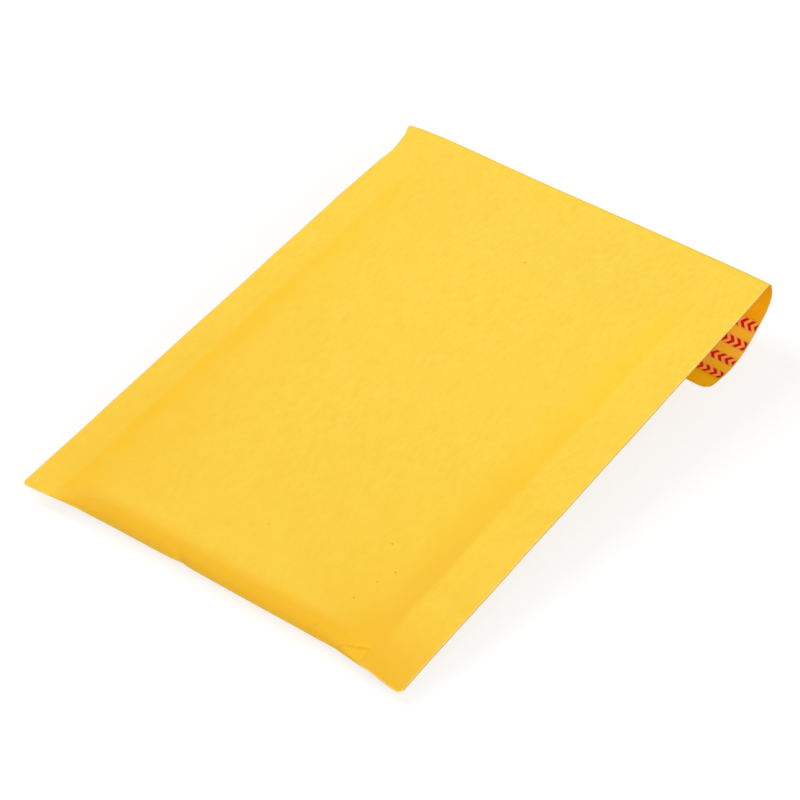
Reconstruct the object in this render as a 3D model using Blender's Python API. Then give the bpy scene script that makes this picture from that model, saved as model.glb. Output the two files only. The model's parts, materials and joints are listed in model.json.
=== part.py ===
"""Padded mailing envelope lying on its back panel, empty and open, with its flap curled under.

The paper is one sheet, folded at the bottom and sealed down both sides, and its front panel
runs on as the flap. A folded bubble lining lies inside, an adhesive strip crosses the inside
of the flap, and a release liner covers the strip.

Shapes are laid out in the envelope's own directions: x across the width, l along the length
from the bottom fold towards the flap, and m square to the plane of the side seals. An empty
named envelope_pose then turns and lifts everything until the bottom fold and the curl of the
flap both stand on the ground, with the origin under the middle of the whole envelope.
Lengths are in metres and angles in degrees.
"""

import math

import bmesh
import bpy
import numpy as np
from mathutils import Vector

# Paper sheet
ENVELOPE_WIDTH = 0.1300
BODY_LENGTH = 0.1946
FLAP_LENGTH = 0.0487
PAPER_THICKNESS = 0.0003
BODY_CORNER_RADIUS = 0.0035
FLAP_CORNER_RADIUS = 0.0035

# Padded pouch
LEFT_SEAL_WIDTH = 0.0090
RIGHT_SEAL_WIDTH = 0.0138
SLOPE_WIDTH = 0.0120
PAD_THICKNESS = 0.0090
FOLD_RADIUS = 0.0062
FOLD_RECESS = 0.0036
MOUTH_SETBACK = 0.0020
MOUTH_FADE_LENGTH = 0.0140
MOUTH_DROP = 0.0030

# Curl of the flap: four arcs from the panel's end, then a straight tail
SHOULDER_LENGTH = 0.0024
SHOULDER_TURN = 66.0
DROP_LENGTH = 0.0054
DROP_TURN = 21.0
KNEE_LENGTH = 0.0102
KNEE_TURN = 66.0
LIE_LENGTH = 0.0220
LIE_TURN = 33.0

# Bubble lining
FILM_THICKNESS = 0.00035
POCKET_GAP = 0.0008
LINING_SETBACK = 0.0030
BUBBLE_RADIUS = 0.0047
BUBBLE_HEIGHT = 0.0031
BUBBLE_TAPER = 0.0011
BUBBLE_PITCH = 0.0114
BUBBLE_STAGGER = 60.0
LEAST_BUBBLE = 0.0006

# Adhesive strip and release liner on the flap
ADHESIVE_START = 0.0220
ADHESIVE_WIDTH = 0.0160
ADHESIVE_THICKNESS = 0.0002
LINER_START = 0.0178
LINER_WIDTH = 0.0250
LINER_THICKNESS = 0.0002
STRIP_SIDE_MARGIN = 0.0005

# Fits
LINING_CLEARANCE = 0.0003
STRIP_CLEARANCE = 0.00025

# Facets
WELD_DISTANCE = 0.000002
BUBBLE_SIDES = 8
CORNER_STEPS = 4
SLOPE_STEPS = 6
FOLD_STEPS = 6
FADE_STEPS = 6
PANEL_STEPS = 4
ARC_STEPS = (6, 3, 8, 8)
CURVE_SAMPLES = 4000
SEARCH_SAMPLES = 400
LEVELLING_STEPS = 20

# Colours as seen, red, green and blue
PAPER_COLOUR = (0.96, 0.79, 0.30)
FILM_COLOUR = (0.86, 0.90, 0.92)
ADHESIVE_COLOUR = (0.93, 0.88, 0.74)
LINER_COLOUR = (0.93, 0.66, 0.36)

# Values that follow from the sizes above
HALF_WIDTH = ENVELOPE_WIDTH / 2
POCKET_HALF_WIDTH = (ENVELOPE_WIDTH - LEFT_SEAL_WIDTH - RIGHT_SEAL_WIDTH) / 2
POCKET_CENTRE = (LEFT_SEAL_WIDTH - RIGHT_SEAL_WIDTH) / 2
MOUTH_LINE = BODY_LENGTH - MOUTH_SETBACK
HALF_PAD = PAD_THICKNESS / 2
HALF_GAP = POCKET_GAP / 2
FILM_OUTSIDE = HALF_GAP + FILM_THICKNESS


def linear(colour):
    """Colour as seen, turned into the linear values that a shader takes."""
    seen = np.array(colour)
    low, high = seen / 12.92, ((seen + 0.055) / 1.055) ** 2.4
    return (*np.where(seen <= 0.04045, low, high), 1.0)


def make_material(name, colour, roughness):
    """Plain Principled finish of one colour."""
    material = bpy.data.materials.new(name)
    material.use_nodes = True
    shader = material.node_tree.nodes["Principled BSDF"]
    shader.inputs["Base Color"].default_value = linear(colour)
    shader.inputs["Roughness"].default_value = roughness
    shader.inputs["Metallic"].default_value = 0.0
    material.diffuse_color = linear(colour)
    return material


def smooth(share):
    """Share from 0 to 1 that starts and ends level."""
    share = np.clip(share, 0.0, 1.0)
    return share * share * (3.0 - 2.0 * share)


def corner_inset(x, radius):
    """How far a rounded corner draws the end line in, at a distance x from the middle."""
    into = np.clip((np.abs(x) - (HALF_WIDTH - radius)) / radius, 0.0, 1.0)
    return radius * (1.0 - np.sqrt(1.0 - into**2))


def pad_share(x):
    """1 over the padding and 0 on the seals: a crease at the seal, then a rounding pillow."""
    inside = np.clip((POCKET_HALF_WIDTH - np.abs(x - POCKET_CENTRE)) / SLOPE_WIDTH, 0.0, 1.0)
    return 1.0 - (1.0 - inside) ** 2


def fold_line(x):
    """Length at which the bottom fold lies: the padding draws it in between the seals."""
    return np.maximum(corner_inset(x, BODY_CORNER_RADIUS), FOLD_RECESS * pad_share(x))


def fold_round(past_fold, radius):
    """Rounding of the bottom fold, a quarter ellipse that grows from 0 to 1 over its radius."""
    left = 1.0 - np.clip(past_fold / radius, 0.0, 1.0)
    return np.sqrt(1.0 - left**2)


def mid_drop(l):
    """How far the middle of the padding hangs below the plane of the seals."""
    return MOUTH_DROP * l / BODY_LENGTH


def front_swell(x, l, past_fold, radius):
    """Rise of the front panel over the seals; it fades out before the flap's straight fold."""
    fade = 1.0 - smooth((l - (MOUTH_LINE - MOUTH_FADE_LENGTH)) / MOUTH_FADE_LENGTH)
    depth = HALF_PAD - mid_drop(l) - PAPER_THICKNESS
    return depth * fade * pad_share(x) * fold_round(past_fold, radius)


def back_swell(x, l, past_fold, radius):
    """Fall of the back panel below the seals; it goes on at full depth to the mouth."""
    depth = HALF_PAD + mid_drop(l) - PAPER_THICKNESS
    return depth * pad_share(x) * fold_round(past_fold, radius)


def inner_front(x, l):
    """Height of the front panel's inside face."""
    past_fold = l - fold_line(x) - PAPER_THICKNESS
    return front_swell(x, l, past_fold, FOLD_RADIUS - PAPER_THICKNESS)


def inner_back(x, l):
    """Height of the back panel's inside face."""
    past_fold = l - fold_line(x) - PAPER_THICKNESS
    return -back_swell(x, l, past_fold, FOLD_RADIUS - PAPER_THICKNESS)


def pocket_columns():
    """Stations across the pocket: flat over the padding, closer together on the slopes."""
    flat = POCKET_HALF_WIDTH - SLOPE_WIDTH
    slope = flat + SLOPE_WIDTH * np.linspace(0.0, 1.0, SLOPE_STEPS + 1)
    half = np.concatenate([[0.0, flat / 2], slope])
    return POCKET_CENTRE + np.concatenate([-half[:0:-1], half])


def sheet_columns():
    """Stations across the whole sheet: the pocket's, and those of the rounded corners."""
    radius = max(BODY_CORNER_RADIUS, FLAP_CORNER_RADIUS)
    turn = np.radians(np.linspace(0.0, 90.0, CORNER_STEPS + 1))
    corner = HALF_WIDTH - radius + radius * np.sin(turn)
    pocket = pocket_columns()
    return np.concatenate([-corner[::-1], pocket, corner])


def panel_rows(thickness_rows):
    """Distances past the bottom fold, from the fold to the mouth."""
    turn = np.radians(np.linspace(0.0, 90.0, FOLD_STEPS + 1))
    fold = FOLD_RADIUS * (1.0 - np.cos(turn[1:]))
    fade_start = MOUTH_LINE - MOUTH_FADE_LENGTH - FOLD_RECESS
    panel = np.linspace(fold[-1], fade_start, PANEL_STEPS + 1)[1:]
    fade = np.linspace(fade_start, MOUTH_LINE - FOLD_RECESS, FADE_STEPS + 1)[1:]
    return np.concatenate([[0.0], thickness_rows, fold, panel, fade])


def panel_grid(columns, rows, start):
    """Grid of x and l whose rows spread evenly from each column's own start to the mouth."""
    share = (rows / rows[-1])[:, None]
    begin = start(columns)[None, :]
    return np.broadcast_to(columns, (len(rows), len(columns))), begin + (MOUTH_LINE - begin) * share


def outer_panels():
    """Outside faces of the front and back panels as two grids of points."""
    columns = sheet_columns()
    x, l = panel_grid(columns, panel_rows([PAPER_THICKNESS]), fold_line)
    past_fold = l - fold_line(x)
    edge = PAPER_THICKNESS * fold_round(past_fold, PAPER_THICKNESS)
    front = edge + front_swell(x, l, past_fold, FOLD_RADIUS)
    back = -edge - back_swell(x, l, past_fold, FOLD_RADIUS)
    return np.stack([x, l, front], -1), np.stack([x, l, back], -1)


def inner_panels():
    """Inside faces of the front and back panels, which meet along the seals and the fold."""
    x, l = panel_grid(pocket_columns(), panel_rows([]), lambda x: fold_line(x) + PAPER_THICKNESS)
    return np.stack([x, l, inner_front(x, l)], -1), np.stack([x, l, inner_back(x, l)], -1)


def curl_arcs():
    """Length and turn of each arc of the curl; the straight tail takes what is left."""
    lengths = [SHOULDER_LENGTH, DROP_LENGTH, KNEE_LENGTH, LIE_LENGTH]
    turns = [SHOULDER_TURN, DROP_TURN, KNEE_TURN, LIE_TURN]
    return lengths + [FLAP_LENGTH - sum(lengths)], turns + [0.0]


def curl(along):
    """Inside face of the flap and its outward direction, at distances from the panel's end."""
    lengths, turns = curl_arcs()
    knots = np.concatenate([[0.0], np.cumsum(lengths)])
    headings = np.radians(np.concatenate([[0.0], np.cumsum(turns)]))
    fine = np.linspace(0.0, FLAP_LENGTH, CURVE_SAMPLES)
    heading = np.interp(fine, knots, headings)
    middle = (heading[1:] + heading[:-1]) / 2
    step = fine[1] - fine[0]
    path_l = np.concatenate([[0.0], np.cumsum(np.cos(middle)) * step]) + BODY_LENGTH
    path_m = -np.concatenate([[0.0], np.cumsum(np.sin(middle)) * step])
    turn = np.interp(along, knots, headings)
    place = np.stack([np.interp(along, fine, path_l), np.interp(along, fine, path_m)], -1)
    return place, np.stack([np.sin(turn), np.cos(turn)], -1)


def curl_stations():
    """Distances along the flap at which its surface bends, with closer ones at its corners."""
    lengths, _ = curl_arcs()
    stations = [0.0]
    for length, steps in zip(lengths, ARC_STEPS):
        stations.extend(stations[-1] + length * np.arange(1, steps + 1) / steps)
    return np.array(stations + [FLAP_LENGTH])


def flap_faces():
    """Outside and inside faces of the flap, from the mouth of the pouch to its free end."""
    columns = sheet_columns()
    x = np.broadcast_to(columns, (len(curl_stations()), len(columns)))
    reach = FLAP_LENGTH - corner_inset(columns, FLAP_CORNER_RADIUS)
    place, outward = curl(reach[None, :] * curl_stations()[:, None] / FLAP_LENGTH)
    inside = np.concatenate([x[..., None], place], -1)
    outside = np.concatenate([x[..., None], place + PAPER_THICKNESS * outward], -1)
    mouth = np.zeros((1, len(columns), 3))
    mouth[0, :, 0] = columns
    mouth[0, :, 1] = MOUTH_LINE
    lifted = mouth + [0.0, 0.0, PAPER_THICKNESS]
    return np.concatenate([lifted, outside]), np.concatenate([mouth, inside])


def add_grid(mesh, points):
    """Adds a grid of points to the mesh as a patch of four-sided faces."""
    rows, columns = points.shape[:2]
    verts = [mesh.verts.new(point) for point in points.reshape(-1, 3)]
    for row in range(rows - 1):
        for column in range(columns - 1):
            first = row * columns + column
            corners = (first, first + 1, first + columns + 1, first + columns)
            mesh.faces.new([verts[corner] for corner in corners])


def new_object(name, mesh_data, material, collection, pose):
    """Object of the envelope, carried by the pose."""
    piece = bpy.data.objects.new(name, mesh_data)
    piece.data.materials.append(material)
    piece.parent = pose
    collection.objects.link(piece)
    return piece


def finish_mesh(name, mesh):
    """Welds the seams of a built mesh, points its faces outwards and stores it."""
    bmesh.ops.remove_doubles(mesh, verts=mesh.verts, dist=WELD_DISTANCE)
    bmesh.ops.recalc_face_normals(mesh, faces=mesh.faces)
    data = bpy.data.meshes.new(name)
    mesh.to_mesh(data)
    mesh.free()
    return data


def kraft_mesh():
    """The folded and sealed paper as one closed shell, a loft of pouch and flap sections."""
    mesh = bmesh.new()
    front, back = outer_panels()
    pocket_front, pocket_back = inner_panels()
    flap_outside, flap_inside = flap_faces()
    for patch in (front, back, pocket_front, pocket_back, flap_outside, flap_inside):
        add_grid(mesh, patch)
    middle = (front + back) / 2
    for side in (0, -1):
        add_grid(mesh, np.stack([front[:, side], middle[:, side], back[:, side]]))
        add_grid(mesh, np.stack([flap_outside[:, side], flap_inside[:, side]]))
    add_grid(mesh, np.stack([flap_outside[-1], flap_inside[-1]]))
    seal_points = (front.shape[1] - pocket_front.shape[1]) // 2
    rim = flap_inside[0].copy()
    rim[seal_points:-seal_points] = pocket_back[-1]
    add_grid(mesh, np.stack([back[-1], rim]))
    return finish_mesh("kraft_envelope", mesh)


def extruded(outline, centre, half_width):
    """Closed bar whose side view is the outline, reaching the half width off its centre."""
    mesh = bmesh.new()
    verts = [mesh.verts.new((centre - half_width, l, m)) for l, m in outline]
    face = mesh.faces.new(verts)
    grown = bmesh.ops.extrude_face_region(mesh, geom=[face])
    moved = [item for item in grown["geom"] if isinstance(item, bmesh.types.BMVert)]
    bmesh.ops.translate(mesh, verts=moved, vec=(2.0 * half_width, 0.0, 0.0))
    return mesh


def lining_start():
    """Length at which the folded film's outside face can lie inside the bottom fold."""
    l = np.linspace(0.0, FOLD_RECESS + FOLD_RADIUS, CURVE_SAMPLES)
    room = np.minimum(inner_front(POCKET_CENTRE, l), -inner_back(POCKET_CENTRE, l))
    clear = room > FILM_OUTSIDE + LINING_CLEARANCE
    return l[np.argmax(clear)] + LINING_CLEARANCE


def lining_end():
    """Length at which the lining ends, just inside the mouth."""
    return MOUTH_LINE - LINING_SETBACK


def lining_half_width():
    """Half width at which the flat film still clears the slopes of both panels."""
    l = np.linspace(lining_start() + FILM_OUTSIDE, lining_end(), SEARCH_SAMPLES)[:, None]
    across = np.linspace(0.0, POCKET_HALF_WIDTH, SEARCH_SAMPLES)[None, :]
    x = POCKET_CENTRE + across
    above = inner_front(x, l) - (FILM_OUTSIDE - mid_drop(l))
    below = (-FILM_OUTSIDE - mid_drop(l)) - inner_back(x, l)
    clear = (np.minimum(above, below) > LINING_CLEARANCE).all(axis=0)
    return across[0, np.argmin(clear) - 1]


def film_outline():
    """Side view of the folded film: a long flat hairpin that is open at the mouth."""
    turn = np.radians(np.linspace(90.0, 270.0, 2 * FOLD_STEPS + 1))
    centre = lining_start() + FILM_OUTSIDE
    outside = np.stack([centre + FILM_OUTSIDE * np.cos(turn), FILM_OUTSIDE * np.sin(turn)], -1)
    inside = np.stack([centre + HALF_GAP * np.cos(turn), HALF_GAP * np.sin(turn)], -1)[::-1]
    end = lining_end()
    top = [(end, HALF_GAP), (end, FILM_OUTSIDE)]
    bottom = [(end, -FILM_OUTSIDE), (end, -HALF_GAP)]
    outline = np.concatenate([top, outside, bottom, inside])
    outline[:, 1] -= mid_drop(outline[:, 0])
    return outline


def bubble_places():
    """Centres of the bubbles of one panel, in staggered rows that fill the film."""
    row_pitch = BUBBLE_PITCH * math.sin(math.radians(BUBBLE_STAGGER))
    across = lining_half_width() - BUBBLE_RADIUS
    first = lining_start() + FILM_OUTSIDE + BUBBLE_RADIUS
    rows = int((lining_end() - BUBBLE_RADIUS - first) / row_pitch) + 1
    places = []
    for row in range(rows):
        shift = BUBBLE_PITCH / 2 * (row % 2)
        side = int((across - shift) / BUBBLE_PITCH)
        column = np.arange(-side - (row % 2), side + 1) * BUBBLE_PITCH + shift
        places.extend((POCKET_CENTRE + x, first + row * row_pitch) for x in column)
    return places


def bubble_height(x, l, panel_height, side):
    """Height of one bubble: its full one, or the room that the paper leaves it."""
    turn = np.linspace(0.0, 2.0 * math.pi, 2 * BUBBLE_SIDES, endpoint=False)
    rim_x = x + BUBBLE_RADIUS * np.cos(turn)
    rim_l = l + BUBBLE_RADIUS * np.sin(turn)
    film = side * FILM_OUTSIDE - mid_drop(rim_l)
    room = side * (panel_height(rim_x, rim_l) - film)
    return min(BUBBLE_HEIGHT, room.min() - LINING_CLEARANCE)


def bubble_mesh():
    """All the bubbles of both panels, each with its foot sunk into the film."""
    mesh = bmesh.new()
    sink = FILM_THICKNESS / 2
    for side, panel_height in ((1.0, inner_front), (-1.0, inner_back)):
        for x, l in bubble_places():
            height = bubble_height(x, l, panel_height, side)
            if height < LEAST_BUBBLE:
                continue
            foot = side * (FILM_OUTSIDE - sink) - mid_drop(l)
            cone = bmesh.ops.create_cone(
                mesh,
                cap_ends=True,
                segments=BUBBLE_SIDES,
                radius1=BUBBLE_RADIUS,
                radius2=BUBBLE_RADIUS - BUBBLE_TAPER * height / BUBBLE_HEIGHT,
                depth=height + sink,
            )
            for vert in cone["verts"]:
                risen = side * (vert.co.z + (height + sink) / 2)
                vert.co = Vector((vert.co.x + x, vert.co.y + l, foot + risen))
    bmesh.ops.recalc_face_normals(mesh, faces=mesh.faces)
    data = bpy.data.meshes.new("bubbles")
    mesh.to_mesh(data)
    mesh.free()
    return data


def make_lining(collection, cutters, pose):
    """Bubble lining: the folded film with its bubbles joined on, facing the paper."""
    material = make_material("bubble_film", FILM_COLOUR, 0.25)
    sheet = extruded(film_outline(), POCKET_CENTRE, lining_half_width())
    film = finish_mesh("bubble_lining", sheet)
    lining = new_object("bubble_lining", film, material, collection, pose)
    bubbles = new_object("bubbles", bubble_mesh(), material, cutters, pose)
    bubbles.hide_render = True
    bubbles.display_type = "WIRE"
    union = lining.modifiers.new("bubbles", "BOOLEAN")
    union.operation = "UNION"
    union.solver = "EXACT"
    union.object = bubbles
    return lining


def flap_strip(name, start, width, stand_off, thickness):
    """Mesh of a strip that follows the inside of the flap, a little way off it."""
    stations = curl_stations()
    between = stations[(stations > start) & (stations < start + width)]
    place, outward = curl(np.concatenate([[start], between, [start + width]]))
    near = place - stand_off * outward
    far = place - (stand_off + thickness) * outward
    outline = np.concatenate([near, far[::-1]])
    return finish_mesh(name, extruded(outline, 0.0, HALF_WIDTH - STRIP_SIDE_MARGIN))


def make_flap_strips(collection, pose):
    """Adhesive strip on the flap, and the release liner that covers it."""
    glue = make_material("adhesive", ADHESIVE_COLOUR, 0.45)
    glue_data = flap_strip(
        "adhesive_strip", ADHESIVE_START, ADHESIVE_WIDTH, STRIP_CLEARANCE, ADHESIVE_THICKNESS
    )
    new_object("adhesive_strip", glue_data, glue, collection, pose)
    liner = make_material("release_liner", LINER_COLOUR, 0.35)
    stand_off = 2.0 * STRIP_CLEARANCE + ADHESIVE_THICKNESS
    liner_data = flap_strip("release_liner", LINER_START, LINER_WIDTH, stand_off, LINER_THICKNESS)
    new_object("release_liner", liner_data, liner, collection, pose)


def resting_tilt(front_part, flap_part):
    """Tilt at which the lowest points of the pouch's fold and of the flap are level."""
    tilt = 0.0
    for _ in range(LEVELLING_STEPS):
        up = np.array([math.sin(tilt), math.cos(tilt)])
        fold = front_part[np.argmin(front_part @ up)]
        flap = flap_part[np.argmin(flap_part @ up)]
        tilt = math.atan2(fold[1] - flap[1], flap[0] - fold[0])
    return tilt


def make_pose(collection):
    """Empty that tilts the envelope onto its rest and centres the origin under it."""
    front, back = (panel.reshape(-1, 3) for panel in outer_panels())
    flap = flap_faces()[0].reshape(-1, 3)
    tilt = resting_tilt(back[:, 1:], flap[:, 1:])
    points = np.concatenate([front, back, flap])
    y = points[:, 1] * math.cos(tilt) - points[:, 2] * math.sin(tilt)
    z = points[:, 1] * math.sin(tilt) + points[:, 2] * math.cos(tilt)
    pose = bpy.data.objects.new("envelope_pose", None)
    pose.rotation_euler = (tilt, 0.0, 0.0)
    pose.location = (0.0, -(y.min() + y.max()) / 2, -z.min())
    collection.objects.link(pose)
    return pose


def clear_scene():
    """Removes what the scene holds."""
    for item in list(bpy.data.objects):
        bpy.data.objects.remove(item, do_unlink=True)


def new_collection(name):
    """Collection linked to the scene."""
    collection = bpy.data.collections.new(name)
    bpy.context.scene.collection.children.link(collection)
    return collection


def main():
    clear_scene()
    envelope = new_collection("padded_envelope")
    cutters = new_collection("joined_shapes")
    pose = make_pose(envelope)
    paper = make_material("kraft_paper", PAPER_COLOUR, 0.8)
    new_object("kraft_envelope", kraft_mesh(), paper, envelope, pose)
    make_lining(envelope, cutters, pose)
    make_flap_strips(envelope, pose)


main()
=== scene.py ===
"""Looks of a padded mailing envelope: kraft skin, bubble lining, peel strip and studio.

Shapes are worked out in the envelope's own directions: x across the width, l along the length
from the bottom fold towards the flap, and m square to the plane of the side seals. A Pose then
carries them into the frame. Lengths are in metres, angles in degrees, and colours are as seen,
red, green and blue from 0 to 255.
"""

import json
import logging
import math
from dataclasses import dataclass, field
from enum import Enum

import bmesh
import bpy
import numpy as np
from mathutils import Matrix, Vector

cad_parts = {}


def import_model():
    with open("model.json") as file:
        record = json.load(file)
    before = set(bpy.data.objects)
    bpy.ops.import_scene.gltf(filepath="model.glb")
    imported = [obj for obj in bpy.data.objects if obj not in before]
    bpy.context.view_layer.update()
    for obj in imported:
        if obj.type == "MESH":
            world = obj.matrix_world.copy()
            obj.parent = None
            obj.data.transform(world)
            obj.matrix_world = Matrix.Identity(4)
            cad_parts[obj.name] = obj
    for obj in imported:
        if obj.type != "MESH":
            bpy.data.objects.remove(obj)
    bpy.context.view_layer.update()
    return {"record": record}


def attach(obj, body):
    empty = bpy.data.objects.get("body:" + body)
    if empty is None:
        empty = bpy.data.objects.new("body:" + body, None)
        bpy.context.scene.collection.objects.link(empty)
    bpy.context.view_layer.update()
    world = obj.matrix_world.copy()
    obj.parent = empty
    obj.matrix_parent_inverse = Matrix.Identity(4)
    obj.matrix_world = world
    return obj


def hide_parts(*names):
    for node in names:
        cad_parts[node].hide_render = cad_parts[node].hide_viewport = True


LOG = logging.getLogger("padded_envelope")
WELD_DISTANCE = 1e-6
MILLIMETRE = 1e-3
MOUNT_LENGTH = 0.100
BELL_SPAN = 2.0
BELL_STEPS = 24
LINE_STEPS = 600

NOISE_WIDE = (0.3, 0.7)
NOISE_NARROW = (0.35, 0.65)

Grid = np.ndarray
Pair = tuple[float, float]
Values = tuple[float, ...]
Line = tuple[Pair, ...]
Colour = tuple[float, float, float]
Point = tuple[float, float, float]
Socket = bpy.types.NodeSocket
Material = bpy.types.Material


class Solid(Enum):
    """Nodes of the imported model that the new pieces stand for."""

    KRAFT = "kraft_envelope"
    LINING = "bubble_lining"
    ADHESIVE = "adhesive_strip"
    LINER = "release_liner"


class Slot(Enum):
    """Material slots of the record."""

    KRAFT = "kraft_paper"
    FILM = "bubble_film"
    ADHESIVE = "adhesive"
    LINER = "release_liner"


class PaperSide(Enum):
    """Faces of the kraft sheet, in the order of the skin's materials."""

    OUTSIDE = 0
    INSIDE = 1
    CUT_EDGE = 2


def linear(colour: Colour) -> tuple[float, float, float, float]:
    """Turn a colour as seen into the linear values that a shader takes.

    Args:
        colour: red, green and blue from 0 to 255.

    Returns:
        Linear red, green, blue and a full alpha.
    """
    seen = np.array(colour) / 255.0
    low, high = seen / 12.92, ((seen + 0.055) / 1.055) ** 2.4
    return (*(float(v) for v in np.where(seen <= 0.04045, low, high)), 1.0)


def smooth(share: Grid) -> Grid:
    """Ease a share: 3 s squared less 2 s cubed, held between 0 and 1."""
    share = np.clip(share, 0.0, 1.0)
    return share * share * (3.0 - 2.0 * share)


def bell(offset: Grid, reach: float) -> Grid:
    """Bell curve: e to the power of minus the squared share of the reach."""
    return np.exp(-((offset / reach) ** 2))


def between(low: float, high: float, steps: int) -> Grid:
    """Evenly spaced stations from low to high, both ends included."""
    return np.linspace(low, high, steps + 1)


def flowing(at: Grid, stations: Values, values: Values, reach: float) -> Grid:
    """Soft line through stations: the broken line between them, averaged under a bell.

    Args:
        at: places at which the line is wanted.
        stations: places of the given values, rising.
        values: values at the stations.
        reach: half width of the bell.

    Returns:
        Value of the soft line at each place.
    """
    offsets = between(-BELL_SPAN, BELL_SPAN, BELL_STEPS)
    weights = bell(offsets, 1.0)
    fine = between(stations[0], stations[-1], LINE_STEPS)
    broken = np.interp(fine[:, None] + reach * offsets, stations, values)
    return np.interp(at, fine, broken @ weights / weights.sum())


def placed(name: str, data: bpy.types.ID) -> bpy.types.Object:
    """Make an object and link it to the scene.

    Args:
        name: the object's name.
        data: its mesh, lamp or camera data.

    Returns:
        The linked object.
    """
    made = bpy.data.objects.new(name, data)
    bpy.context.scene.collection.objects.link(made)
    return made


@dataclass(frozen=True)
class Crease:
    """Small straight crease pressed into the front panel, ends given across and along."""

    start: Pair
    end: Pair
    depth: float
    reach: float = 0.00042

    def distance(self, x: Grid, l: Grid) -> Grid:
        """Distance of every point from the crease's line.

        Args:
            x: places across.
            l: places along.

        Returns:
            Length of the shortest way to the segment between the two ends.
        """
        ax, al = self.start
        dx, dl = self.end[0] - ax, self.end[1] - al
        share = np.clip(((x - ax) * dx + (l - al) * dl) / (dx * dx + dl * dl), 0.0, 1.0)
        return np.hypot(x - ax - share * dx, l - al - share * dl)

    def sink(self, x: Grid, l: Grid, share: float) -> Grid:
        """How far the crease lowers the paper: its depth times a bell of the distance."""
        return self.depth * bell(self.distance(x, l), share * self.reach)


@dataclass(frozen=True)
class Borders:
    """Wander of the sheet's outline.

    Each line pairs places with shifts. Both are in millimetres, and so is the reach of the
    bell that softens the lines. The start of the shoulder's shift is in metres.
    """

    reach: float = 0.8
    shoulder_start: float = 0.150
    left: Line = (
        (0.0, 0.30), (8.0, 0.34), (18.0, 0.38), (33.0, 0.27), (49.0, 0.23), (58.0, -0.03),
        (67.0, -0.16), (90.0, -0.07), (96.0, -0.16), (110.0, 0.03), (126.0, -0.19),
        (139.0, -0.27), (145.0, -0.18), (155.0, -0.36), (164.3, -0.20), (171.0, -0.04),
        (177.0, 0.18), (179.8, 0.48), (183.3, 0.48), (186.1, 0.08), (188.6, -0.44),
        (190.6, -0.62), (192.0, -1.02), (193.4, -1.88), (195.2, -2.20), (196.8, -1.55),
        (199.0, -0.50), (210.0, 0.10), (226.0, -0.20), (244.3, -0.20),
    )
    right: Line = (
        (0.0, -0.45), (8.0, -0.43), (13.0, -0.40), (17.0, -0.31), (24.0, -0.08),
        (35.0, -0.01), (47.0, -0.05), (53.0, -0.02), (59.0, -0.05), (65.0, 0.10),
        (80.0, 0.13), (96.0, 0.19), (110.0, 0.10), (122.0, 0.08), (129.0, 0.18),
        (145.0, 0.15), (160.0, 0.28), (172.0, 0.38), (180.0, 0.35), (190.0, 0.25),
        (196.0, 0.20), (200.6, 0.40), (203.6, 0.33), (205.1, 0.18), (208.1, 0.05),
        (211.1, -0.10), (214.0, -0.03), (218.6, 0.25), (221.6, 0.45), (227.6, 0.66),
        (233.6, 0.66), (238.6, 0.40), (241.6, 0.15), (244.3, 0.0),
    )
    shoulder: Line = (
        (-67.0, -1.70), (-64.2, -0.92), (-61.8, -0.53), (-59.6, -0.33), (-57.5, -0.25),
        (-54.0, 0.0), (-42.0, 0.0), (-30.0, -0.15), (-15.0, -0.20), (-8.0, -0.18),
        (3.0, 0.0), (14.0, 0.12), (24.0, 0.20), (35.0, 0.33), (46.0, 0.36), (57.0, 0.34),
        (62.0, 0.18), (65.0, 0.05),
    )

    def shift(self, at: Grid, line: Line) -> Grid:
        """Soft line of shifts, in metres, at places in metres."""
        places, shifts = zip(*line)
        return flowing(at / MILLIMETRE, places, shifts, self.reach) * MILLIMETRE

    def flare(self, x: Grid, s: Grid, half_width: float) -> Grid:
        """Sideways shift of the sheet, whose side edges each follow their own line.

        The shift grows with the fourth power of the way from the middle, so that only the
        borders move.

        Args:
            x: places across.
            s: distances along the sheet, body and flap together.
            half_width: half of the sheet's width.

        Returns:
            Shift across at each place.
        """
        side = np.clip(np.abs(x) / half_width, 0.0, 1.0) ** 4
        left, right = (self.shift(s, line) for line in (self.left, self.right))
        return np.where(x < 0.0, left, right) * side

    def skew(self, x: Grid, s: Grid, body_length: float) -> Grid:
        """Shift along of the flap's shoulder, which sets in over the last stretch before it."""
        onset = smooth((s - self.shoulder_start) / (body_length - self.shoulder_start))
        return self.shift(x, self.shoulder) * onset


@dataclass(frozen=True)
class Sway:
    """Slow lift of the whole sheet: ripples along its side borders and one drooping corner."""

    ripple: float = 0.00024
    waves: Pair = (128.0, 53.0)
    phases: Pair = (0.7, 1.9)
    lean: float = 21.0
    border_start: float = 0.030
    border_reach: float = 0.030
    onset: float = 0.02
    fade_start: float = 0.15
    fade: float = 0.03
    droop: float = 0.0011
    droop_length: float = 0.030
    droop_start: float = 0.044
    droop_width: float = 0.021

    def lift(self, x: Grid, s: Grid, centre: float) -> Grid:
        """Lift of the sheet off its plain form.

        Long low ripples, the product of two sines, run along the side borders, and the lower
        right corner of the seal droops by an eased share of the way to the corner.

        Args:
            x: places across.
            s: distances along the sheet, body and flap together.
            centre: middle of the pocket.

        Returns:
            Lift at each place, square to the sheet.
        """
        border = smooth((np.abs(x - centre) - self.border_start) / self.border_reach)
        lull = smooth(s / self.onset) * (1.0 - smooth((s - self.fade_start) / self.fade))
        long = np.sin(s * self.waves[1] + self.phases[1])
        ripple = self.ripple * np.sin(s * self.waves[0] + x * self.lean + self.phases[0]) * long
        near_end = smooth(1.0 - s / self.droop_length)
        near_side = smooth((x - self.droop_start) / self.droop_width)
        return ripple * border * lull - self.droop * near_end * near_side


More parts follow.
